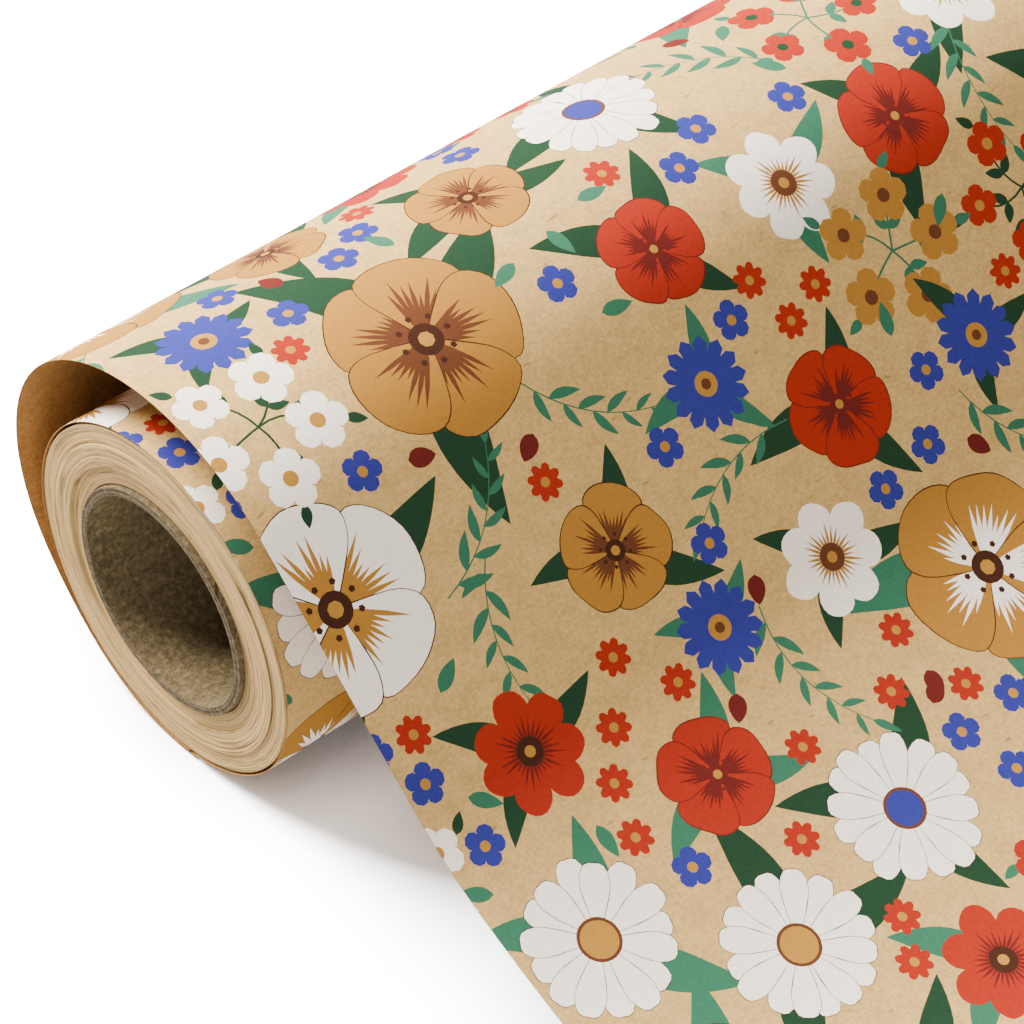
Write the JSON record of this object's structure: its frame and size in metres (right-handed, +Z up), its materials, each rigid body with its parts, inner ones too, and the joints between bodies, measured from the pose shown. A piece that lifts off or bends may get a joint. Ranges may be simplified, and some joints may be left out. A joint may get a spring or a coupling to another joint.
{
  "type": "wrapping paper roll",
  "caption": "Roll of printed floral kraft gift wrap on a chipboard core, with a loose turn drawn off, sloping to the table and lying flat at its free end.",
  "frame": {"origin": "centre of the core's bore, halfway along the roll", "axes": "+X along the core, the sheet is drawn off towards -Y, +Z up from the table"},
  "size_m": [0.4462, 0.3565, 0.1001],
  "materials": {
    "core_board": "matt grey-brown chipboard",
    "starter_tape": "matt adhesive strip",
    "wound_paper": "cut edges of wound kraft paper",
    "printed_paper": "smooth kraft with a printed floral pattern"
  },
  "bodies": {
    "sheet": {"drawn_sheet": "printed_paper"},
    "roll": {"core_ply_1": "core_board", "core_ply_2": "core_board", "core_ply_3": "core_board", "core_ply_4": "core_board", "starter_strip": "starter_tape", "inner_turns": "wound_paper", "middle_turns": "wound_paper", "outer_turns": "wound_paper", "outside_turn": "printed_paper"},
    "free_end": {"leader": "printed_paper"}
  },
  "joints": [
    {"name": "roll_spin", "type": "hinge", "parent": "sheet", "child": "roll", "pos_m": [0, 0, 0], "axis": [1, 0, 0], "continuous": true},
    {"name": "leader_lift", "type": "hinge", "parent": "sheet", "child": "free_end", "pos_m": [0, -0.23606, -0.0425], "axis": [-1, 0, 0], "range_deg": [0, 40]}
  ]
}
